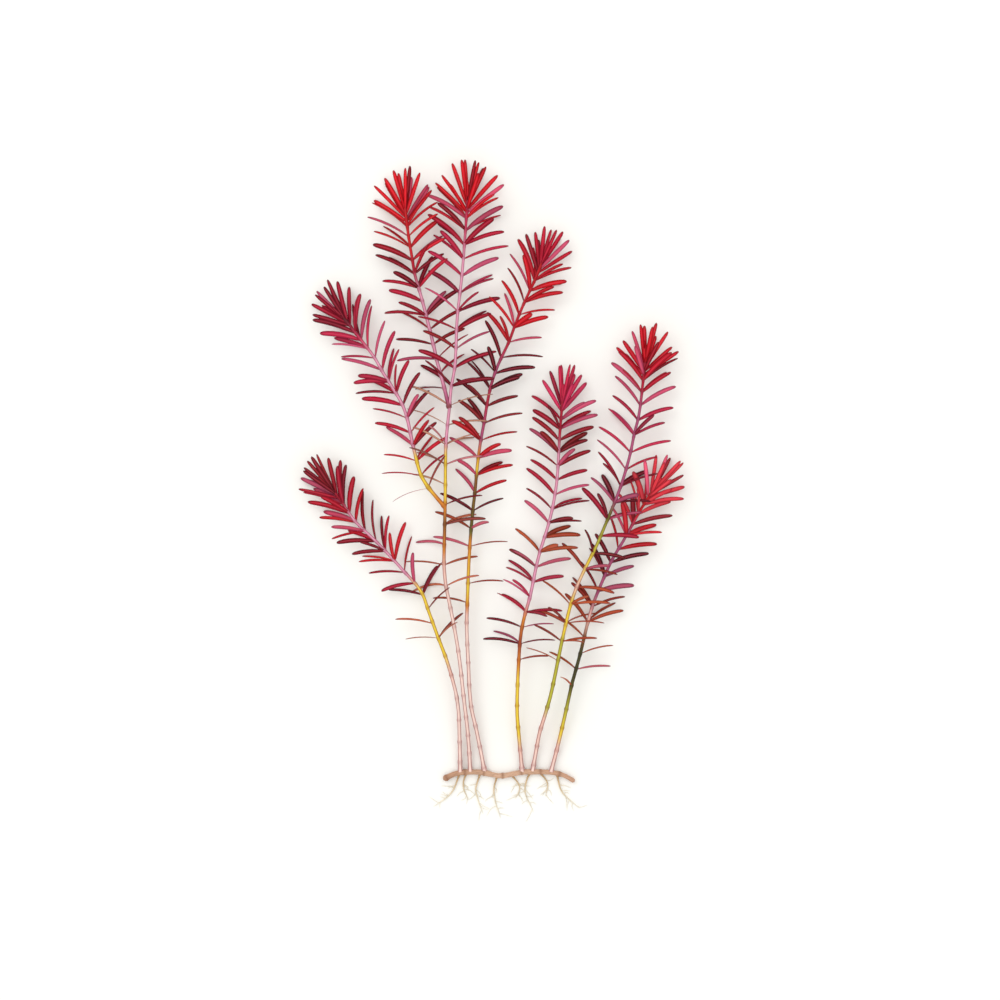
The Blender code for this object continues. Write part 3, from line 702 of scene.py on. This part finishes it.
LEAF_LOWEST = 0.3 * MM
LEAF_INTO_STEM_SHARE = 0.45
LEAF_TWIST_DEGREES = 16
LEAF_TWIST_FROM_SHARE = 0.4
LEAF_SHARP_DEGREES = 50
LEAF_SEED = 200
CROWN_REACH = 8 * MM
CROWN_BREADTH_SHARE = 0.92
DARK_LEAF_SHARE = 0.16
DARK_LEAF_MIX = 0.65
PINK_LEAF_SHARE = 0.14
PINK_LEAF_MIX = 0.5
CROWN_BRIGHTNESS = (0.9, 1.15)
LEAF_BRIGHTNESS = (0.7, 1.02)
LEAF_RIB = "EC6474"
LEAF_MARGIN_SHADE = (0.34, 0.2, 0.34)
VEINS_PER_HALF_WIDTH = 3.5
VEINS_PER_LENGTH = 2.2
VEIN_SEEDS = (0, 90)
BUD_LEAVES = 3
BUD_HEADING_AT = -3
BUD_LEAF_LENGTH = (6 * MM, 11 * MM)
BUD_LEAF_WIDTH = (1.0 * MM, 1.6 * MM)
BUD_LEAF_DEGREES = (10, 30)
BUD_LEAF_SPREAD_SHARE = 0.2
BUD_LEAF_INTO_TIP = 0.4 * MM
BUD_LEAF_ARCH_SHARE = 0.04
BUD_BRIGHTNESS = (0.9, 1.1)

# The outline of a leaf: places along it, as shares of its length, and the shares of its width there.
LEAF_SHARES = np.array((0, 0.07, 0.2, 0.36, 0.52, 0.68, 0.82, 0.92, 0.975, 1.0))
LEAF_OUTLINE = np.array((0.4, 0.62, 0.88, 1.0, 1.04, 1.04, 0.97, 0.82, 0.55, 0.16))

# The section of a leaf, in shares of its half width.
BLADE_POINTS = 6
BLADE = {"Fold": 0.16, "Thickness": 0.1, "Keel": 0.12, "Keel Width": 0.45}

# The colour of each shoot's leaves at heights up the clump, in millimetres from the runner.
LEAF_COLOURS = {
    "shoot_1": "50 salmon, 64 salmon, 76 ochre, 86 burgundy, 94 crimson, 104 scarlet, 112 crimson, "
               "122 scarlet, 134 crimson, 142 brick, 150 crimson",
    "shoot_2": "90 salmon, 112 rust, 124 salmon, 134 brick, 143 faded, 184 faded, 190 burgundy, "
               "200 crimson, 212 brick, 224 crimson, 240 rose, 262 crimson, 276 scarlet, 292 scarlet",
    "side_shoot_1": "128 faded, 140 salmon, 148 crimson, 160 scarlet, 172 crimson, 188 crimson, "
                    "208 rose, 220 crimson, 230 burgundy, 238 crimson",
    "side_shoot_2": "180 rust, 190 burgundy, 202 crimson, 214 brick, 236 crimson, 262 scarlet, "
                    "284 scarlet",
    "shoot_3": "66 salmon, 90 rust, 104 brick, 118 ochre, 130 burgundy, 142 scarlet, 160 scarlet, "
               "172 brick, 190 burgundy, 206 burgundy, 214 scarlet, 240 scarlet, 256 crimson",
    "shoot_4": "46 salmon, 54 rust, 60 burgundy, 72 burgundy, 80 crimson, 90 rose, 98 brick, "
               "108 ochre, 118 rust, 128 crimson, 142 crimson, 158 brick, 175 crimson, 180 rose, "
               "186 crimson",
    "shoot_5": "44 salmon, 58 ochre, 70 rust, 84 ochre, 98 rust, 110 burgundy, 120 crimson, "
               "134 burgundy, 150 crimson, 166 rose, 182 crimson, 206 scarlet",
    "shoot_6": "32 salmon, 48 ochre, 66 ochre, 78 rust, 88 brick, 94 burgundy, 104 burgundy, "
               "114 scarlet, 124 coral, 134 coral",
}

# The oldest leaves of the second shoot, between these heights, have withered to thin pale blades.
WITHERED_HEIGHTS = {"shoot_2": (142, 187)}
WITHERED_BREADTH_SHARE = 0.55


def leaf_strand(foot, middle, tip, under, breadth, tint, seed, twist):
    """The midrib of a leaf, bent through its middle, with the way across its blade at each point."""
    shares = LEAF_SHARES[:, None]
    foot, middle, tip = (np.array(p) for p in (foot, middle, tip))
    pull = 2 * middle - (foot + tip) / 2
    line = (1 - shares) ** 2 * foot + 2 * shares * (1 - shares) * pull + shares**2 * tip
    line[:, 2] = np.maximum(line[:, 2], LEAF_LOWEST)
    forward = directions(line)
    up = -np.array(under)
    sides = []
    for share, heading in zip(LEAF_SHARES, forward):
        side = np.cross(up, heading)
        degrees = twist * (share - LEAF_TWIST_FROM_SHARE)
        turn = Matrix.Rotation(math.radians(degrees), 3, Vector(heading))
        sides.append(turn @ Vector(side / np.linalg.norm(side)))
    count = len(LEAF_SHARES)
    return {
        "line": line,
        "side": np.array(sides),
        "half_width": LEAF_OUTLINE * breadth / 2,
        "tint": np.tile(tint, (count, 1)),
        "along": LEAF_SHARES.copy(),
        "leaf_seed": np.full(count, seed),
    }


# A blade: a shallow V above and a keel below. It comes from a circle of six points, turned half a step
# so that each side has one point above, which is the margin, and one below, which is drawn in.
blade_tree = bpy.data.node_groups.new("leaf_blade", "GeometryNodeTree")
given = add_sockets(blade_tree, {name: ("NodeSocketFloat", share) for name, share in BLADE.items()})
circle = add_node(blade_tree, "GeometryNodeCurvePrimitiveCircle", {
    "Resolution": BLADE_POINTS, "Radius": 1.0}).outputs[0]
spot = add_node(blade_tree, "GeometryNodeInputPosition").outputs[0]
turned = add_node(blade_tree, "ShaderNodeVectorRotate", {
    "Vector": spot, "Angle": math.pi / BLADE_POINTS}, rotation_type="Z_AXIS").outputs[0]
parts = add_node(blade_tree, "ShaderNodeSeparateXYZ", {0: turned}).outputs
below = add_node(blade_tree, "ShaderNodeMath", {0: parts["Y"], 1: 0.0}, operation="LESS_THAN").outputs[0]
edge = add_node(blade_tree, "ShaderNodeMath", {
    0: parts["X"], 1: math.cos(math.pi / BLADE_POINTS)}, operation="DIVIDE").outputs[0]
narrowing = add_node(blade_tree, "ShaderNodeMix", {
    "Factor": below, 2: 1.0, 3: given["Keel Width"]}, data_type="FLOAT").outputs[0]
out = add_node(blade_tree, "ShaderNodeMath", {0: edge, 1: narrowing}, operation="MULTIPLY").outputs[0]
out_size = add_node(blade_tree, "ShaderNodeMath", {0: out}, operation="ABSOLUTE").outputs[0]
edge_size = add_node(blade_tree, "ShaderNodeMath", {0: edge}, operation="ABSOLUTE").outputs[0]
rise = add_node(blade_tree, "ShaderNodeMath", {
    0: out_size, 1: given["Fold"]}, operation="MULTIPLY").outputs[0]
inward = add_node(blade_tree, "ShaderNodeMath", {0: 1.0, 1: edge_size}, operation="SUBTRACT").outputs[0]
keel = add_node(blade_tree, "ShaderNodeMath", {
    0: inward, 1: given["Keel"], 2: given["Thickness"]}, operation="MULTIPLY_ADD").outputs[0]
drop = add_node(blade_tree, "ShaderNodeMath", {0: keel, 1: below}, operation="MULTIPLY").outputs[0]
level = add_node(blade_tree, "ShaderNodeMath", {0: rise, 1: drop}, operation="SUBTRACT").outputs[0]
corner = add_node(blade_tree, "ShaderNodeCombineXYZ", {"X": out, "Y": level}).outputs[0]
sweep_section(blade_tree, given, add_node(blade_tree, "GeometryNodeSetPosition", {
    "Geometry": circle, "Position": corner}).outputs[0])

# Leaf blade: thin, waxy and wet, so satin, with darker margins, foot and tip and a paler midrib.
leaf_skin, tree, shader = new_surface("waxy_leaf_blade")
section = add_node(tree, "ShaderNodeAttribute", attribute_name="section").outputs["Vector"]
along = add_node(tree, "ShaderNodeAttribute", attribute_name="along").outputs["Fac"]
seed = add_node(tree, "ShaderNodeAttribute", attribute_name="leaf_seed").outputs["Fac"]
across = add_node(tree, "ShaderNodeSeparateXYZ", {0: section}).outputs["X"]
off_rib = add_node(tree, "ShaderNodeMath", {0: across}, operation="ABSOLUTE").outputs[0]
margin = add_node(tree, "ShaderNodeMapRange", {
    "Value": off_rib, "From Min": 0.45, "From Max": 0.9, "To Min": 0.0, "To Max": 0.85},
    interpolation_type="SMOOTHSTEP").outputs[0]
tip_dark = add_node(tree, "ShaderNodeMapRange", {
    "Value": along, "From Min": 0.86, "From Max": 1.0, "To Min": 0.0, "To Max": 0.8},
    interpolation_type="SMOOTHSTEP").outputs[0]
foot_dark = add_node(tree, "ShaderNodeMapRange", {
    "Value": along, "From Min": 0.0, "From Max": 0.22, "To Min": 0.5, "To Max": 0.0},
    interpolation_type="SMOOTHSTEP").outputs[0]
ends_dark = add_node(tree, "ShaderNodeMath", {0: tip_dark, 1: foot_dark}, operation="MAXIMUM").outputs[0]
outline_dark = add_node(tree, "ShaderNodeMath", {0: margin, 1: ends_dark}, operation="MAXIMUM").outputs[0]
# Veins run the length of the blade, about 0.3 mm apart, and each leaf has its own.
vein_across = add_node(tree, "ShaderNodeMath", {
    0: across, 1: VEINS_PER_HALF_WIDTH}, operation="MULTIPLY").outputs[0]
vein_along = add_node(tree, "ShaderNodeMath", {
    0: along, 1: VEINS_PER_LENGTH}, operation="MULTIPLY").outputs[0]
vein_place = add_node(tree, "ShaderNodeCombineXYZ", {"X": vein_across, "Y": vein_along, "Z": seed}).outputs[0]
veins = add_node(tree, "ShaderNodeTexNoise", {
    "Vector": vein_place, "Scale": 1.0, "Detail": 3, "Roughness": 0.55}).outputs["Fac"]
veined = mottled_tint(tree, veins, darkest=0.72, lightest=1.2)
deep = add_node(tree, "ShaderNodeVectorMath", {
    0: veined, 1: LEAF_MARGIN_SHADE}, operation="MULTIPLY").outputs[0]
edged = add_node(tree, "ShaderNodeMix", {0: outline_dark, 6: veined, 7: deep}, data_type="RGBA").outputs[2]
rib_light = add_node(tree, "ShaderNodeMapRange", {
    "Value": off_rib, "From Min": 0.0, "From Max": 0.3, "To Min": 0.26, "To Max": 0.0},
    interpolation_type="SMOOTHSTEP").outputs[0]
pale_rib = add_node(tree, "ShaderNodeMix", {
    0: rib_light, 6: edged, 7: [*linear(LEAF_RIB), 1]}, data_type="RGBA").outputs[2]
finish_surface(tree, shader, pale_rib, veins, strength=0.25, depth=0.08 * MM, roughness=0.42, gloss=0.1)

burgundy, orchid = (np.array(linear(COLOURS[colour])) for colour in ("burgundy", "orchid"))
for number, node in enumerate(shoot_nodes):
    line = shoots[node]["line"]
    stops = colour_stops(LEAF_COLOURS[node])
    chance = random.Random(LEAF_SEED + number)
    strands = []
    for leaf in shoots[node]["leaves"]:
        foot, breadth = leaf["foot"], leaf["breadth"]
        height = (foot.y - RUNNER_LEVEL) / MM
        in_crown = (foot - Vector(line[-1])).length < CROWN_REACH
        if in_crown:
            breadth *= CROWN_BREADTH_SHARE
        lowest, highest = WITHERED_HEIGHTS.get(node, (0, 0))
        if lowest < height < highest:
            breadth *= WITHERED_BREADTH_SHARE
        carrier = Vector(line[int(np.argmin(np.linalg.norm(line - np.array(foot), axis=1)))])
        tint = between(stops, height)
        pick = chance.random()
        if pick < DARK_LEAF_SHARE:
            tint = tint + (burgundy - tint) * DARK_LEAF_MIX
        elif pick < DARK_LEAF_SHARE + PINK_LEAF_SHARE:
            tint = tint + (orchid - tint) * PINK_LEAF_MIX
        tint = tint * chance.uniform(*(CROWN_BRIGHTNESS if in_crown else LEAF_BRIGHTNESS))
        strands.append(leaf_strand(
            foot.lerp(carrier, LEAF_INTO_STEM_SHARE), leaf["middle"], leaf["tip"], leaf["under"], breadth,
            tint, chance.uniform(*VEIN_SEEDS), chance.uniform(-1, 1) * LEAF_TWIST_DEGREES))
    forward = Vector(directions(line)[BUD_HEADING_AT])
    right = Vector(level_sides(line)[BUD_HEADING_AT])
    upward = right.cross(forward)
    for k in range(BUD_LEAVES):
        aside = chance.uniform(-BUD_LEAF_SPREAD_SHARE, BUD_LEAF_SPREAD_SHARE)
        turn = math.tau * (k + aside) / BUD_LEAVES
        out = right * math.cos(turn) + upward * math.sin(turn)
        lean = math.radians(chance.uniform(*BUD_LEAF_DEGREES))
        heading = forward * math.cos(lean) + out * math.sin(lean)
        length = chance.uniform(*BUD_LEAF_LENGTH)
        foot = Vector(line[-1]) - forward * BUD_LEAF_INTO_TIP
        middle = foot + heading * (length / 2) + out * (BUD_LEAF_ARCH_SHARE * length)
        tip = foot + heading * length
        tint = between(stops, (foot.y - RUNNER_LEVEL) / MM) * chance.uniform(*BUD_BRIGHTNESS)
        breadth = chance.uniform(*BUD_LEAF_WIDTH)
        seed = chance.uniform(*VEIN_SEEDS)
        strands.append(leaf_strand(foot, middle, tip, out, breadth, tint, seed, twist=0))
    leaf_piece = grown(f"{node}_leaves", strands, blade_tree, leaf_skin, BLADE, LEAF_SHARP_DEGREES)
    rest_on_table(leaf_piece)
    on_body(leaf_piece, "shoots", node)
